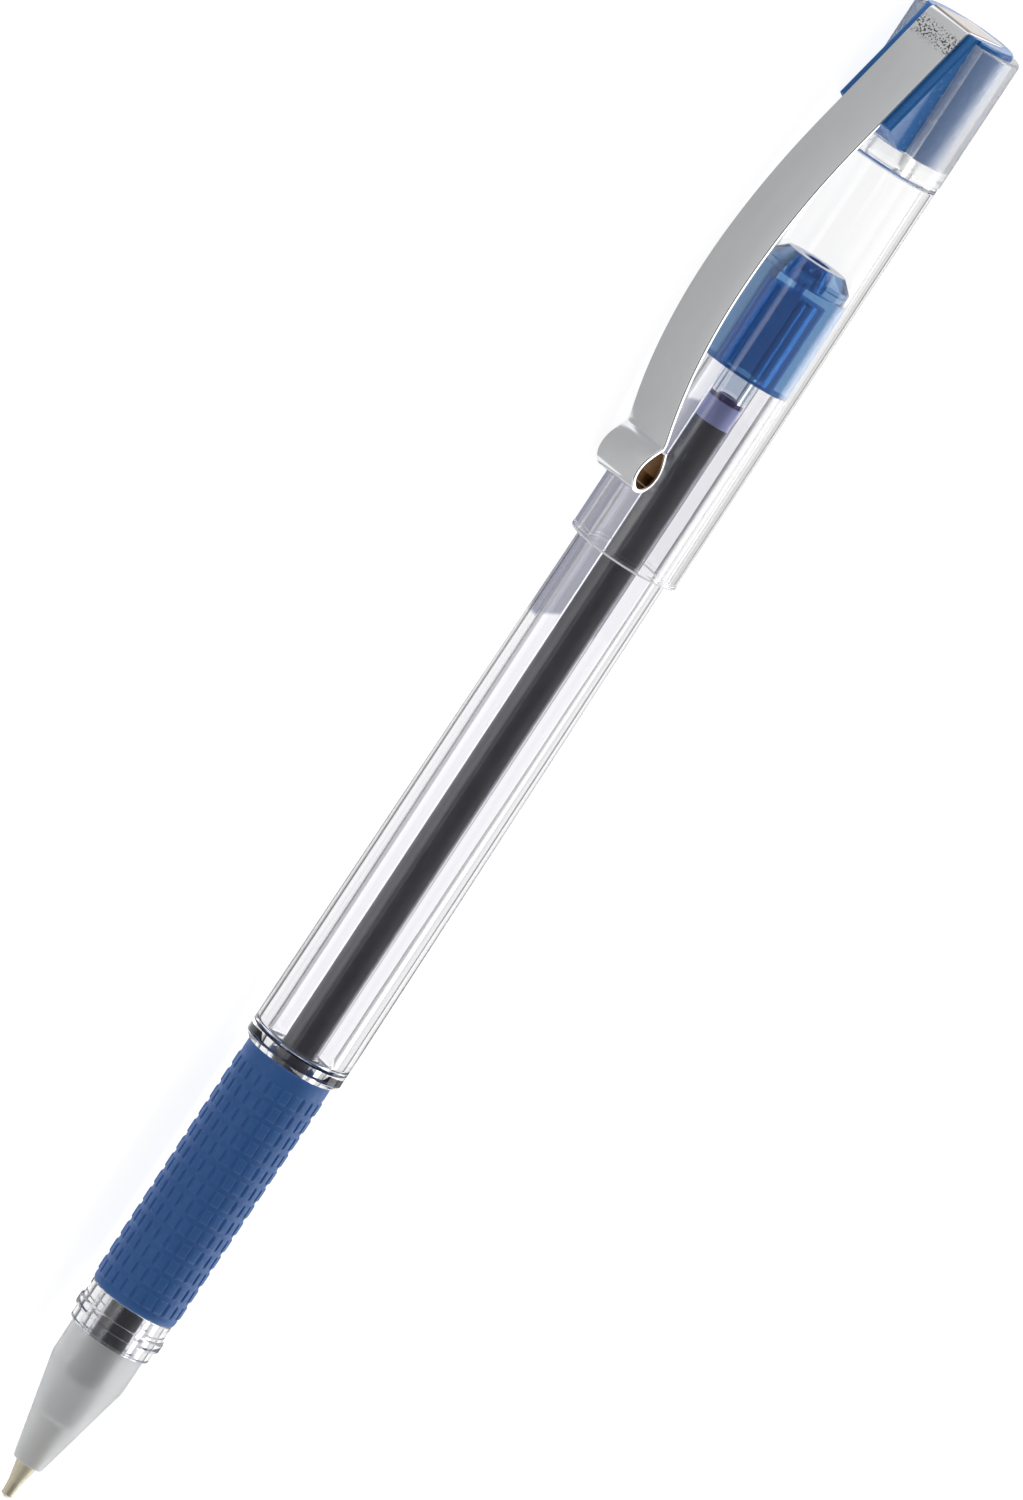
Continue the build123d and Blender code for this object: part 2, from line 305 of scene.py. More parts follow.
cap_look = Look("cap_plastic", Base_Color=(0.99, 0.99, 0.99, 1), IOR=1.5)
frosted = cap_look.ramp(cap_look.station(), HEAD_FRONT, HEAD_FRONT + 0.35)
ground = cap_look.ramp(cap_look.station(), lip + 0.20, lip + 0.10)
cloudy = cap_look.maths("MULTIPLY_ADD", ground, 0.45, cap_look.maths("MULTIPLY", frosted, 0.09))
cap_look.value(cap_look.shader.inputs["Transmission Weight"], cap_look.maths("SUBTRACT", 1.0, cloudy))
cap_look.roughness(
    cap_look.maths("MULTIPLY_ADD", cloudy, 2.0, cap_look.ramp(cap_look.noise(2.5, 4), 0.4, 0.8, 0.0, 0.02))
)
cap_look.bump(cap_look.noise(3.0, 2, stretch=(6, 1, 1)), 0.010)
cap_look.lets_lamps_through((0.96, 0.96, 0.97))

plug_look = Look("plug_plastic", Transmission_Weight=0.85, IOR=1.0)
plug_look.colour(plug_look.mix(plug_look.noise(1.2, 4), (0.14, 0.355, 0.64), (0.22, 0.415, 0.68)))
plug_look.roughness(plug_look.ramp(plug_look.noise(1.5, 4), 0.3, 0.7, 0.05, 0.15))
plug_look.lets_lamps_through((0.3, 0.5, 0.9))

ink_look = Look("gel_ink", Roughness=0.35, IOR=1.1)
ink_look.colour(
    ink_look.mix(ink_look.noise(1.2, 5, stretch=(3, 1, 1)), (0.068, 0.064, 0.070), (0.135, 0.129, 0.139))
)

follower_look = Look("follower_gel", Roughness=0.25, IOR=1.45)
ring = follower_look.ramp(follower_look.station(), follower_rear - 0.80, follower_rear - 0.65)
cloud = follower_look.noise(0.9, 4)
violet = follower_look.mix(cloud, (0.40, 0.42, 0.80), (0.60, 0.63, 0.93))
follower_look.colour(follower_look.mix(ring, violet, (0.045, 0.02, 0.14)))

nose_look = Look("nose_plastic", IOR=1.5)
behind_collar = nose_look.ramp(nose_look.station(), collar_front - 0.25, collar_front + 0.15)
thin_wall = nose_look.ramp(nose_look.station(), 13.2, 13.4, 0.47, 0.66)  # the refill shows faintly here
clearness = nose_look.maths("MAXIMUM", thin_wall, behind_collar)
nose_look.value(nose_look.shader.inputs["Transmission Weight"], clearness)
satin = nose_look.ramp(nose_look.noise(0.8, 4), 0.3, 0.7, 0.38, 0.50)
nose_look.colour(nose_look.mix(behind_collar, (0.90, 0.91, 0.92), (0.98, 0.98, 0.98)))
nose_look.roughness(nose_look.maths("MULTIPLY", satin, nose_look.maths("SUBTRACT", 1.0, behind_collar)))
nose_look.bump(nose_look.noise(0.15, 3), 0.004)
nose_look.lets_lamps_through((0.8, 0.82, 0.82))

holder_look = Look("holder_plastic", Roughness=0.4)
holder_look.colour(holder_look.mix(holder_look.noise(0.7, 4), (0.50, 0.52, 0.53), (0.60, 0.62, 0.63)))
holder_look.bump(holder_look.noise(0.3, 3), 0.004)

rubber_look = Look("grip_rubber", IOR=1.5, Sheen_Weight=0.15, Sheen_Roughness=0.5)
rubber_look.colour(
    rubber_look.mix(rubber_look.noise(1.6, 5), (0.030, 0.132, 0.415), (0.046, 0.168, 0.480))
)
rubber_look.roughness(rubber_look.ramp(rubber_look.noise(0.5, 4), 0.3, 0.7, 0.48, 0.68))
rubber_look.bump(rubber_look.noise(0.07, 4), 0.006)

insert_look = Look("insert_plastic", IOR=1.5)
insert_look.colour(
    insert_look.mix(insert_look.noise(2.0, 4), (0.018, 0.160, 0.470), (0.028, 0.190, 0.540))
)
insert_look.roughness(insert_look.ramp(insert_look.noise(0.6, 4), 0.3, 0.7, 0.16, 0.30))
insert_look.bump(insert_look.noise(0.25, 3), 0.003)


REST_PLACE = "rest_place"  # the name of where each point of the clip is at rest
CRUMPLED_FROM, CRUMPLED_TO = (157.7, 158.4), (160.1, 159.5)  # stations, each from plain to crumpled
CREASES = 45.0  # how much higher than the strip's own grain


def steel(name, darkest, lightest):
    """Polished strip with painted shade in the fold's crumples and a painted dark reflection on the tab; its
    look bends with the clip.
    """
    look = Look(name, Metallic=1.0)
    look.where = look.add("ShaderNodeAttribute", attribute_name=REST_PLACE).outputs["Vector"]
    look.roughness(look.ramp(look.noise(0.10, 4, stretch=(30, 1, 1)), 0.3, 0.7, 0.09, 0.18))
    at = look.station()
    fold = look.maths("MULTIPLY", look.ramp(at, *CRUMPLED_FROM), look.ramp(at, *CRUMPLED_TO))
    crumple = look.noise(0.22, 4, stretch=(0.8, 1, 1))
    # painted shade: the pits of the crumpled fold are painted near black
    pit_painted_shade = look.maths("MULTIPLY", fold, look.ramp(crumple, 0.50, 0.60))
    plain = look.mix(look.noise(1.5, 5, stretch=(5, 1, 1)), darkest, lightest)
    # painted reflection: the tab is painted a dark brown, for the dark surroundings it reflects
    tab_painted_dark = look.ramp(at, insert_end - 0.03, insert_end + 0.11)
    look.colour(look.mix(pit_painted_shade, look.mix(tab_painted_dark, plain, (0.34, 0.28, 0.24)), (0.10, 0.10, 0.10)))
    creases = look.maths("MULTIPLY", fold, crumple)
    grain = look.maths("MULTIPLY_ADD", creases, CREASES, look.noise(0.5, 3, stretch=(4, 1, 1)))
    look.bump(grain, 0.002)
    return look


steel_look = steel("clip_steel", (0.86, 0.875, 0.885), (0.94, 0.95, 0.96))
brassy_look = steel("clip_steel_tarnished", (0.30, 0.21, 0.14), (0.66, 0.54, 0.41))

point_look = Look("point_metal", Metallic=1.0)
point_look.colour(point_look.mix(point_look.noise(0.4, 4), (0.68, 0.62, 0.47), (0.82, 0.77, 0.62)))
point_look.roughness(point_look.ramp(point_look.noise(0.05, 3, stretch=(0.3, 6, 6)), 0.3, 0.7, 0.50, 0.62))
point_look.bump(point_look.noise(0.04, 2, stretch=(0.3, 8, 8)), 0.003)

ball_look = Look("ball_metal", Metallic=1.0, Roughness=0.15)
ball_look.colour(ball_look.mix(ball_look.noise(0.2, 4), (0.44, 0.45, 0.47), (0.56, 0.57, 0.59)))
ball_look.bump(ball_look.noise(0.08, 3), 0.002)

for node, look in {
    "tip_holder": holder_look,
    "point_tip": point_look,
    "writing_ball": ball_look,
    "crown_insert": insert_look,
}.items():
    dress(node, look)

# ---- barrel and its plug ------------------------------------------------------------------------

# The plug fills the rear of the bore without a gap, so light doesn't bend where they meet: one clear solid
# has the outside of both, and the plug's colour is a body just inside it.
SOCKET_R, SOCKET_END = 1.97, 132.30
BREATHER_R, BREATHER_FLOOR = 1.32, 133.40
VENT_R = 0.30
PLUG_FRONT = 123.55
HEAD_SEAT, CHAMFER_R = 134.60, 3.00  # where the plug's chamfer starts, and its end
PLUG_R = 4.10  # of the head behind the barrel
NECK_RIM = 0.35  # the neck shows this much before the grip
GRIP_START = span("grip_sleeve")[0] + NECK_RIM
THREAD_R, THREAD_END = 3.05, 24.50  # room for the nose's spigot
THROAT_R, THROAT_END = 2.45, 49.30  # the refill runs through this

barrel = lathe(
    "barrel_clear",
    [
        (collar_front, THREAD_R, 0.05),
        (collar_front, 4.15, 0.20),  # collar
        (18.85, 4.15, 0.08),
        (18.85, 4.45, 0.20),  # bead
        (19.95, 4.45, 0.20),
        (19.95, 4.22, 0.08),  # neck
        (GRIP_START, 4.22, 0.08),
        (GRIP_START, BORE_R),  # under the grip
        (48.10, BORE_R),
        (48.10, 4.55),  # flange
        (48.60, 5.00, 0.15),
        (52.60, 5.00, 3.00),
        (101.0, 4.67, 20.0),  # waist
        (barrel_rear, 4.53, 0.15),
        (barrel_rear, PLUG_R, 0.05),  # the plug's outside
        (HEAD_SEAT, PLUG_R, 0.15),
        (plug_end, CHAMFER_R, 0.15),
        (plug_end, BREATHER_R, 0.10),
        (BREATHER_FLOOR, BREATHER_R),
        (BREATHER_FLOOR, VENT_R),
        (SOCKET_END, VENT_R),
        (SOCKET_END, SOCKET_R, 0.15),
        (PLUG_FRONT, SOCKET_R, 0.10),
        (PLUG_FRONT, BORE_R, 0.15),
        (THROAT_END, BORE_R, 0.90),
        (THROAT_END, THROAT_R, 0.10),
        (THREAD_END, THROAT_R),
        (THREAD_END, THREAD_R),
    ],
    "barrel",
    barrel_look.material,
)
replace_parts(barrel, "barrel")

SKIN = 0.03  # the colour starts this far inside the clear solid
plug = lathe(
    "plug_colour",
    [
        (PLUG_FRONT + SKIN, SOCKET_R + SKIN),
        (PLUG_FRONT + SKIN, BORE_R),
        (barrel_rear, BORE_R),
        (barrel_rear + SKIN, PLUG_R - SKIN),
        (HEAD_SEAT, PLUG_R - SKIN, 0.15),
        (plug_end - SKIN, CHAMFER_R - SKIN, 0.15),
        (plug_end - SKIN, BREATHER_R + SKIN),
        (BREATHER_FLOOR - SKIN, BREATHER_R + SKIN),
        (BREATHER_FLOOR - SKIN, VENT_R + SKIN),
        (SOCKET_END + SKIN, VENT_R + SKIN),
        (SOCKET_END + SKIN, SOCKET_R + SKIN),
    ],
    "barrel",
    plug_look.material,
)
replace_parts(plug, "tail_plug")

# ---- grip ---------------------------------------------------------------------------------------

GRIP_END = span("grip_sleeve")[1]
GRIP_START_R, GRIP_END_R = 4.42, 4.50
END_ROUND, END_SIDE = 0.35, 0.45  # rounding of the grip's ends, and how far down their flat side starts
END_TURNS = (0.4, 0.8, 1.2)  # steps round it, in radians
PAD_RINGS, PADS_ROUND = 13, 24
PADS_START, PADS_END = 22.30, 46.65
PAD_HEIGHT = 0.13
GAP_ALONG, GAP_ROUND = 0.12, 0.10  # half the gap beside a pad, as a share of the pads' pitch
SLOPE = 0.07  # how far the side of a pad slopes, as a share of the pitch
PAD_STEPS = (0.0, 0.05, 0.10, 0.14, 0.19, 0.25, 0.40, 0.60, 0.75, 0.81, 0.86, 0.90, 0.95)


def pad_profile(share, gap):
    """How high a pad stands across one pitch, from 0 to 1, with a slightly domed top."""
    edge = min(share, 1 - share)
    rise = min(1.0, max(0.0, (edge - gap) / SLOPE))
    return rise * rise * (3 - 2 * rise) * (0.88 + 0.12 * math.sin(math.pi * share))


def grip_radius(station):
    along = (station - GRIP_START) / (GRIP_END - GRIP_START)
    return GRIP_START_R + (GRIP_END_R - GRIP_START_R) * along


def grip_end(station, radius, inward):
    """Rows of an end of the grip, from its bore out. Inward is 1 at the front end and -1 at the rear."""
    rows = [(station, BORE_R, 0.0), (station, radius - END_SIDE, 0.0)]
    for turn in END_TURNS:
        out = radius - END_SIDE + END_ROUND * math.sin(turn)
        rows.append((station + inward * END_ROUND * (1 - math.cos(turn)), out, 0.0))
    return rows


def make_grip():
    pitch = (PADS_END - PADS_START) / PAD_RINGS
    rows = grip_end(GRIP_START, GRIP_START_R, 1)  # station, radius between pads, height of pads there
    rows.append((GRIP_START + 0.60, GRIP_START_R - 0.08, 0.0))
    for ring_number in range(PAD_RINGS):
        for share in PAD_STEPS:
            station = PADS_START + pitch * (ring_number + share)
            rows.append((station, grip_radius(station) - PAD_HEIGHT, pad_profile(share, GAP_ALONG)))
    rows.append((PADS_END + 0.25, grip_radius(PADS_END) - 0.10, 0.0))
    rows += grip_end(GRIP_END, GRIP_END_R, -1)[::-1]
    turns = [(pad + share) / PADS_ROUND for pad in range(PADS_ROUND) for share in PAD_STEPS]
    high = [pad_profile(share, GAP_ROUND) for _ in range(PADS_ROUND) for share in PAD_STEPS]
    vertices, faces = [], []
    for station, radius, rise in rows:
        for turn, up in zip(turns, high):
            reach = radius + PAD_HEIGHT * rise * up
            angle = 2 * math.pi * turn
            vertices.append(place(station, reach * math.cos(angle), reach * math.sin(angle)))
    around = len(turns)
    for row in range(len(rows)):
        here, there = row * around, (row + 1) % len(rows) * around
        for step in range(around):
            after = (step + 1) % around
            faces.append((here + step, here + after, there + after, there + step))
    return finish_mesh("grip_padded", vertices, faces, "barrel", rubber_look.material, crease=50)


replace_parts(make_grip(), "grip_sleeve")

# ---- nose cone ----------------------------------------------------------------------------------

nose = lathe(
    "nose_translucent",
    [
        (nose_front, 1.13, 0.04),  # opening for the point
        (nose_front, 1.49, 0.12),
        (13.95, 3.75, 0.30),  # the cone ends
        (collar_front, 3.75, 0.12),
        (collar_front, 3.00),  # spigot
        (spigot_end, 3.00, 0.10),
        (spigot_end, 2.05),
        (9.00, 2.05),  # room for the tip holder
        (8.60, 1.20),
        (4.15, 1.20),
    ],
    "nose",
    nose_look.material,
)
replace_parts(nose, "nose_cone")

# ---- refill -------------------------------------------------------------------------------------


def radius_of(node):
    low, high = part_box(node)
    return (high - low).z / 2 / MM


tube_bore_r, tube_r = radius_of("gel_ink"), radius_of("ink_tube")
tube = lathe(
    "tube_clear",
    [
        (tube_front, tube_bore_r, 0.05),
        (tube_front, tube_r, 0.10),
        (tube_rear, tube_r, 0.10),
        (tube_rear, tube_bore_r, 0.05),
    ],
    "refill",
    tube_look.material,
)
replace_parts(tube, "ink_tube")

# Ink and follower wet the wall of the tube, so they reach a little into it and no air shows between.
WET_R = tube_bore_r + 0.03
ink_front = tube_front + 0.3

ink = lathe(
    "ink_column",
    [(ink_front, 0), (ink_front, WET_R, 0.1), (ink_rear, WET_R), (ink_rear, 0)],
    "refill",
    ink_look.material,
)
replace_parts(ink, "gel_ink")

follower = lathe(
    "follower_column",
    [(ink_rear, 0), (ink_rear, WET_R), (follower_rear, WET_R, 0.3), (follower_rear - 0.35, 0)],
    "refill",
    follower_look.material,
)
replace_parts(follower, "ink_follower")

# ---- cap ----------------------------------------------------------------------------------------

CAP_R, HEAD_R = 5.52, 5.60
BEAD, BEAD_END = 0.05, lip + 0.40  # the bead round the lip
CEILING, CEILING_HOLE_R = 146.70, 2.00
HEAD_BORE_R = 4.70  # a hair wider than the insert in it
SLOT_FRONT, SLOT_LEVEL = 148.60, 3.10  # the slot that the insert's saddle rises through
PAST_HEAD, PAST_SIDES = 170, 9  # how far the slot's cutter reaches
SLOT_EDGE = 0.07  # width of the cut's bevels
cap = lathe(
    "cap_clear",
    [
        (lip, 4.90, 0.12),
        (lip, CAP_R + BEAD, 0.14),
        (BEAD_END, CAP_R + BEAD, 0.14),
        (BEAD_END + 0.06, CAP_R, 0.05),
        (HEAD_FRONT - 0.15, CAP_R, 0.10),
        (HEAD_FRONT, HEAD_R, 0.08),
        (head_rear, HEAD_R, 0.30),
        (head_rear, HEAD_BORE_R, 0.05),
        (SLOT_FRONT - 0.05, HEAD_BORE_R),
        (SLOT_FRONT - 0.05, CEILING_HOLE_R),
        (CEILING, CEILING_HOLE_R, 0.10),
        (CEILING, 4.62, 0.50),
    ],
    "",
    cap_look.material,
)
cutter_corners = [
    place(station, reach, across)
    for station in (SLOT_FRONT, PAST_HEAD)
    for reach in (SLOT_LEVEL, PAST_SIDES)
    for across in (-PAST_SIDES, PAST_SIDES)
]
box_faces = ((0, 1, 3, 2), (4, 5, 7, 6), (0, 1, 5, 4), (2, 3, 7, 6), (0, 2, 6, 4), (1, 3, 7, 5))
cutter = finish_mesh("slot_cutter", cutter_corners, box_faces, "", cap_look.material)
cut = cap.modifiers.new("slot", "BOOLEAN")
cut.object, cut.operation, cut.solver = cutter, "DIFFERENCE", "EXACT"
soften = cap.modifiers.new("edges", "BEVEL")
soften.width, soften.segments, soften.limit_method = SLOT_EDGE * MM, 2, "ANGLE"
soften.angle_limit = math.radians(50)
soften.use_clamp_overlap = True
depsgraph = bpy.context.evaluated_depsgraph_get()
cut_mesh = bpy.data.meshes.new_from_object(cap.evaluated_get(depsgraph))
cap.modifiers.clear()
cap.data = cut_mesh
cut_mesh.shade_smooth()
cut_mesh.set_sharp_from_angle(angle=math.radians(32))
bpy.data.objects.remove(cutter)
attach(cap, "cap")
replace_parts(cap, "cap_shell")

# ---- clip ---------------------------------------------------------------------------------------

# The strip's middle line is given as (station, reach).
CLIP_W, CLIP_T = 5.06, 0.48
SADDLE_TOP = (150.00, 6.90)
SADDLE_END_R = 3.12
TAB_END_R, TAB_ROUND = -2.95, 0.80  # the tab's free end and its rounded corners
TAB_SUNK, TAB_LEAN = 0.28, 0.14  # the tab lies a little in the insert's end
FOLD_R = 0.60
CLIP_SPLIT, ARCH_REAR = 150.20, 146.50
CREST = (132.00, 11.30 - CLIP_T / 2)
FALL = ((123.10, 10.28), (117.40, 8.56))
NECK = (114.75, 7.45)
LOOP = ((113.70, 8.38), (112.60, 8.96), (111.30, 8.90), (110.24, 7.55), (110.62, 6.45), (111.85, 5.91))
LOOP_END = (114.35, 6.85)
TAB_STEPS, ROOT_STEPS = 24, 16  # along the tab, and from the fold to the split
EDGE = 0.12  # rounding of the strip's edges
TARNISH_STEP = 3  # the loop's inside turns dark this many steps after its start

saddle_slope = (SADDLE_TOP[1] - SADDLE_END_R) / (insert_end - SADDLE_TOP[0])


def strip_r(station):
    """Reach of the strip's middle where it lies straight on the saddle."""
    saddle = SADDLE_TOP[1] - saddle_slope * (station - SADDLE_TOP[0])
    return saddle + CLIP_T / 2 * math.hypot(1, saddle_slope)


def spline(points, start=None, end=None, steps=14):
    """Points along the smooth cubic curve through `points`, with these directions at its ends if given."""
    points = np.array(points, float)
    spans = np.linalg.norm(np.diff(points, axis=0), axis=1)
    count = len(points)
    grid, right_side = np.zeros((count, count)), np.zeros((count, 2))
    for k in range(1, count - 1):
        before, after = spans[k - 1], spans[k]
        grid[k, k - 1 : k + 2] = after, 2 * (before + after), before
        rise = before / after * (points[k + 1] - points[k]) + after / before * (points[k] - points[k - 1])
        right_side[k] = 3 * rise
    for k, inner, span, way in ((0, 1, spans[0], start), (count - 1, count - 2, spans[-1], end)):
        if way is None:
            grid[k, k], grid[k, inner] = 2, 1
            right_side[k] = 3 * (points[max(k, inner)] - points[min(k, inner)]) / span
        else:
            grid[k, k], right_side[k] = 1, np.array(way) / np.linalg.norm(way)
    slopes = np.linalg.solve(grid, right_side)
    line = []
    for k, span in enumerate(spans):
        for u in np.linspace(0, 1, steps, endpoint=False):
            line.append(
                (2 * u**3 - 3 * u**2 + 1) * points[k]
                + (u**3 - 2 * u**2 + u) * span * slopes[k]
                + (3 * u**2 - 2 * u**3) * points[k + 1]
                + (u**3 - u**2) * span * slopes[k + 1]
            )
    return line + [points[-1]]


def clip_line():
    """The middle of the strip from the tab to the end of its loop, and where on it the loop starts."""
    tab = insert_end + CLIP_T / 2 - TAB_SUNK
    split = (CLIP_SPLIT, strip_r(CLIP_SPLIT))
    fold = rounded([(tab - TAB_LEAN, TAB_END_R), (tab, strip_r(tab), FOLD_R), split])
    low = np.array(fold[0])
    line = [low + (np.array(fold[1]) - low) * k / TAB_STEPS for k in range(TAB_STEPS)]
    line += [np.array(point) for point in fold[1:-1]]
    arch = spline(
        [split, (ARCH_REAR, strip_r(ARCH_REAR)), CREST, *FALL, NECK],
        start=(-1, saddle_slope),
        end=(-1, -0.42),
    )
    folded = line[-1]
    line += [folded + (arch[0] - folded) * k / ROOT_STEPS for k in range(1, ROOT_STEPS)] + arch[:-2]
    loop = spline([NECK, *LOOP, LOOP_END])
    return np.array(line + loop[1:]), len(line)


def make_clip():
    line, loop_start = clip_line()
    ways = np.gradient(line, axis=0)
    ways /= np.linalg.norm(ways, axis=1)[:, None]
    outer = np.stack([ways[:, 1], -ways[:, 0]], 1)
    half_w, half_t = CLIP_W / 2, CLIP_T / 2
    corner = [(math.cos(a), math.sin(a)) for a in (0, math.pi / 6, math.pi / 3, math.pi / 2)]
    ring = [(half_t - EDGE + EDGE * c, half_w - EDGE + EDGE * s) for c, s in corner]
    ring += [(-t, w) for t, w in ring[::-1]]
    ring += [(t, -w) for t, w in ring[::-1]]
    vertices, faces = [], []
    for k, (at, out) in enumerate(zip(line, outer)):
        from_end = min(TAB_ROUND, max(0.0, at[1] - TAB_END_R)) if k < TAB_STEPS else TAB_ROUND
        short = TAB_ROUND - math.sqrt(TAB_ROUND**2 - (TAB_ROUND - from_end) ** 2)
        for thick, wide in ring:
            narrowed = math.copysign(abs(wide) - short, wide)
            vertices.append(place(at[0] + out[0] * thick, at[1] + out[1] * thick, narrowed))
    around = len(ring)
    for k in range(len(line) - 1):
        for step in range(around):
            after = (step + 1) % around
            faces.append(
                (k * around + step, k * around + after, (k + 1) * around + after, (k + 1) * around + step)
            )
    faces += [tuple(range(around)), tuple(range(len(vertices) - around, len(vertices)))]
    clip = finish_mesh("clip_strip", vertices, faces, "", steel_look.material, crease=40)
    clip.data.materials.append(brassy_look.material)
    inner_first, inner_last = around // 4, around // 2 + around // 4
    for face in clip.data.polygons[: (len(line) - 1) * around]:
        segment, step = divmod(face.index, around)
        if segment > loop_start + TARNISH_STEP and inner_first <= step < inner_last:
            face.material_index = 1
    rest_place = clip.data.attributes.new(REST_PLACE, "FLOAT_VECTOR", "POINT")
    rest_place.data.foreach_set("vector", [part for vertex in clip.data.vertices for part in vertex.co])
    flat = clip.modifiers.new("flat_faces", "WEIGHTED_NORMAL")
    flat.keep_sharp = True
    return clip


clip = make_clip()
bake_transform(clip)
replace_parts(clip, "clip_root", "clip_arm")

# ---- studio -------------------------------------------------------------------------------------

floor_z = cad_box[0].z
SIDE = 20.0  # m, half the floor's
floor_mesh = bpy.data.meshes.new("floor")
floor_corners = [(x * SIDE, y * SIDE, floor_z) for x, y in ((-1, -1), (1, -1), (1, 1), (-1, 1))]
floor_mesh.from_pydata(floor_corners, [], [(0, 1, 2, 3)])
floor = bpy.data.objects.new("floor", floor_mesh)
bpy.context.scene.collection.objects.link(floor)

# The floor is white paper to the camera. What clear parts and steel show of it is grey, with lit strips
# along the pen that draw their edges, a dark seam of painted shade and a violet-grey painted shade beside
# the clip. Places are in mm.
FRONT_STRIP_Y = (-4.0, 0.1)  # under the pen
SHADE_STRIP_Y = (-0.1, 1.3)  # painted shade: a dark strip beside it, for the pen's contact shadow
BACK_PANEL_Y = 2.3  # starts behind the pen
LOOP_CARD_X, LOOP_CARD_Y = (-119.0, -104.0), (-7.8, -5.6)  # beside the clip's loop
ROOM_CARD_Y = -26.0  # ends before the pen
CLIP_SHADE_X, CLIP_SHADE_Y = (-118.8, -94.3), (-3.0, 9.7)  # where the clip shades the floor
SOFT = 0.5  # width of all their edges
GREY, LIT, WHITE = 0.36, 0.50, 0.9  # unlit floor, what a strip adds to it, and what the camera sees
SHADED = 0.70  # of GREY, in the clip's shade
SHADE_TINT = (0.74, 0.77, 1.0)
# the second colour is the dark strip's painted shade, seen only through clear parts and in steel
PAPER, SHADE_STRIP_TONE = (0.25, 0.25, 0.25), (0.02, 0.02, 0.02)
floor_look = Look("floor_paper", Base_Color=(*PAPER, 1), Roughness=0.9)
on_floor = floor_look.add("ShaderNodeSeparateXYZ")
floor_look.join(floor_look.where, on_floor.inputs[0])


def lit_past(axis, start, width=SOFT):
    return floor_look.ramp(on_floor.outputs[axis], start * MM, (start + width) * MM)


def patch(x_range, y_range):
    """1 inside this rectangle of floor, 0 outside it."""
    sides = [lit_past("X", x_range[0]), lit_past("X", x_range[1], -SOFT)]
    sides += [lit_past("Y", y_range[0]), lit_past("Y", y_range[1], -SOFT)]
    share = sides[0]
    for side in sides[1:]:
        share = floor_look.maths("MULTIPLY", share, side)
    return share


FAR = SIDE / MM
front_strip = patch((-FAR, FAR), FRONT_STRIP_Y)
back_panel = patch((-FAR, FAR), (BACK_PANEL_Y, FAR))
shade = floor_look.maths("SUBTRACT", 1.0, patch(CLIP_SHADE_X, CLIP_SHADE_Y))
panels = floor_look.maths("MULTIPLY", floor_look.maths("ADD", front_strip, back_panel), shade)
for x_range, y_range in ((LOOP_CARD_X, LOOP_CARD_Y), ((-FAR, FAR), (-FAR, ROOM_CARD_Y))):
    panels = floor_look.maths("ADD", panels, patch(x_range, y_range))
unlit = floor_look.maths("MULTIPLY_ADD", shade, (1 - SHADED) * GREY, SHADED * GREY)
# painted shade: a dark strip beside the pen, kept from the camera, that darkens the edges of clear parts
shade_strip = patch((-FAR, FAR), SHADE_STRIP_Y)
unlit = floor_look.maths("MULTIPLY", unlit, floor_look.maths("SUBTRACT", 1.0, shade_strip))
seen_indirectly = floor_look.maths("MULTIPLY_ADD", panels, LIT, unlit)
camera_ray = floor_look.add("ShaderNodeLightPath").outputs["Is Camera Ray"]
hidden_shade_strip = floor_look.maths("MULTIPLY", shade_strip, floor_look.maths("SUBTRACT", 1.0, camera_ray))
floor_look.colour(floor_look.mix(hidden_shade_strip, PAPER, SHADE_STRIP_TONE))
glow = floor_look.add("ShaderNodeMix")
for socket, value in ((0, camera_ray), (2, seen_indirectly), (3, WHITE)):
    floor_look.value(glow.inputs[socket], value)
floor_look.join(glow.outputs[0], floor_look.shader.inputs["Emission Strength"])
untinted = floor_look.maths("MAXIMUM", shade, camera_ray)
glow_tint = floor_look.mix(untinted, SHADE_TINT, (1, 1, 1))
floor_look.join(glow_tint, floor_look.shader.inputs["Emission Color"])
floor_mesh.materials.append(floor_look.material)

world = bpy.data.worlds.new("studio")
bpy.context.scene.world = world
world.use_nodes = True
sky = world.node_tree
background = sky.nodes["Background"]
background.inputs["Color"].default_value = (1, 1, 1, 1)


def sky_node(kind, **settings):
    node = sky.nodes.new(kind)
    for setting, value in settings.items():
        setattr(node, setting, value)
    return node


def sky_number(operation, *values):
    node = sky_node("ShaderNodeMath", operation=operation)
    for socket, value in zip(node.inputs, values):
        if hasattr(value, "node"):
            sky.links.new(value, socket)
        else:
            socket.default_value = value
    return node.outputs[0]


def sky_step(source, low, high, rise):
    node = sky_node("ShaderNodeMapRange", interpolation_type="SMOOTHSTEP")
    sky.links.new(source, node.inputs[0])
    for socket, value in zip(list(node.inputs)[1:], (low, high, 0.0, rise)):
        socket.default_value = value
    return node.outputs[0]


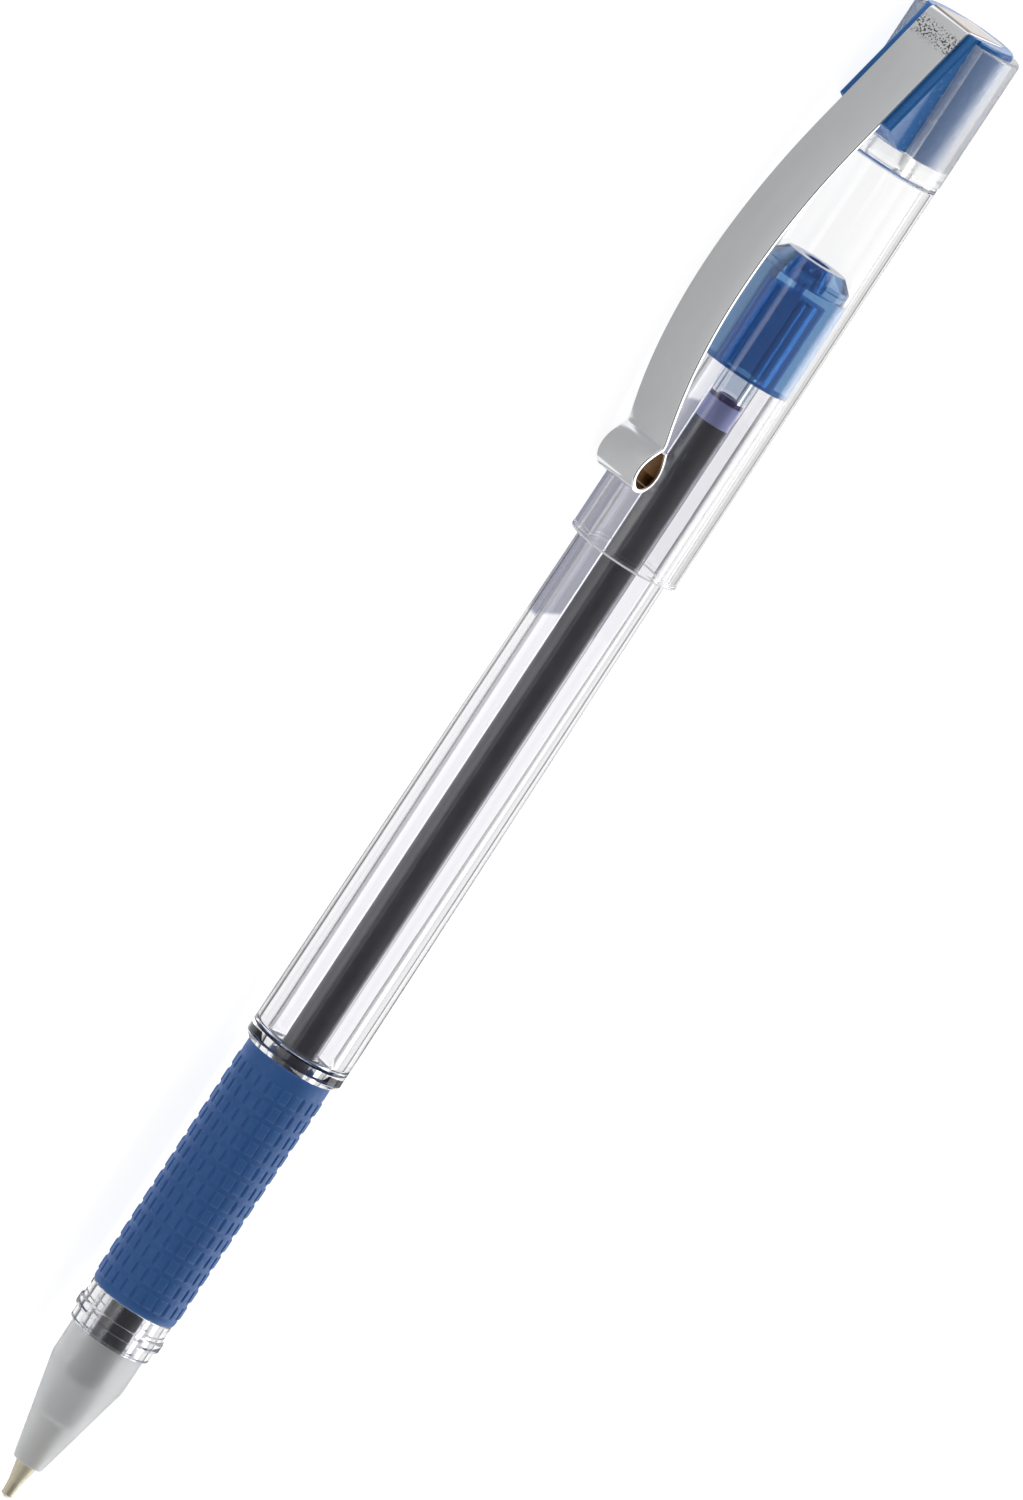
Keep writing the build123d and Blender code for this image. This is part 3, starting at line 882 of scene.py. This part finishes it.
# Brightness by the angle up from the horizon behind the pen, over it and down to the one before it.
heading = sky_node("ShaderNodeSeparateXYZ")
sky.links.new(sky_node("ShaderNodeTexCoord").outputs["Generated"], heading.inputs[0])
climb = sky_number("ARCTAN2", heading.outputs["Z"], heading.outputs["Y"])
climb = sky_number("MULTIPLY", climb, 180 / math.pi)
HORIZON_GLOW = 0.22
brightness = HORIZON_GLOW
for low, high, rise in (
    (6, 12, 0.50),  # wall behind
    (34, 40, 1.80),  # long soft box
    (58, 66, -2.20),
    (95, 130, -0.20),  # dark room before the pen
):
    brightness = sky_number("ADD", sky_step(climb, low, high, rise), brightness)
end_walls = sky_step(sky_number("ABSOLUTE", heading.outputs["X"]), 0.70, 0.85, 0.9)
sky.links.new(sky_number("ADD", brightness, end_walls), background.inputs["Strength"])

# ---- camera -------------------------------------------------------------------------------------

DISTANCE = 1900.0  # mm, from a long lens
VIEW_HEIGHT = 135.3  # mm of the picture's long side at that distance
TILT = math.radians(9.3)  # the crown is this much nearer the camera
TURN = math.radians(34.5)  # from the clip's direction to the camera, round the pen
SLANT = math.radians(33.34)  # of the pen in the picture, clockwise from upright
AIM = 80.6  # station that the picture is placed by
AIM_RIGHT, AIM_DOWN = -2.30, 1.39  # mm from the middle of the picture to that station

sideways = OUTWARD * math.cos(TURN) + ACROSS * math.sin(TURN)
to_camera = CROWN * math.sin(TILT) + sideways * math.cos(TILT)
along = CROWN * math.cos(TILT) - sideways * math.sin(TILT)  # the pen's direction in the picture
beside = ACROSS * math.cos(TURN) - OUTWARD * math.sin(TURN)
right = along * math.sin(SLANT) + beside * math.cos(SLANT)
up = along * math.cos(SLANT) - beside * math.sin(SLANT)

SENSOR = 36.0
lens = bpy.data.cameras.new("camera")
lens.sensor_width = SENSOR
lens.lens = SENSOR * DISTANCE / VIEW_HEIGHT
lens.clip_start, lens.clip_end = 0.01, 100.0
camera = bpy.data.objects.new("camera", lens)
bpy.context.scene.collection.objects.link(camera)
spot = place(AIM) + (to_camera * DISTANCE - right * AIM_RIGHT + up * AIM_DOWN) * MM
camera.matrix_world = Matrix.Translation(spot) @ Matrix((right, up, to_camera)).transposed().to_4x4()
bpy.context.scene.camera = camera

bpy.context.scene.view_settings.view_transform = "Standard"
cycles = bpy.context.scene.cycles
cycles.max_bounces = cycles.transmission_bounces = cycles.transparent_max_bounces = 32
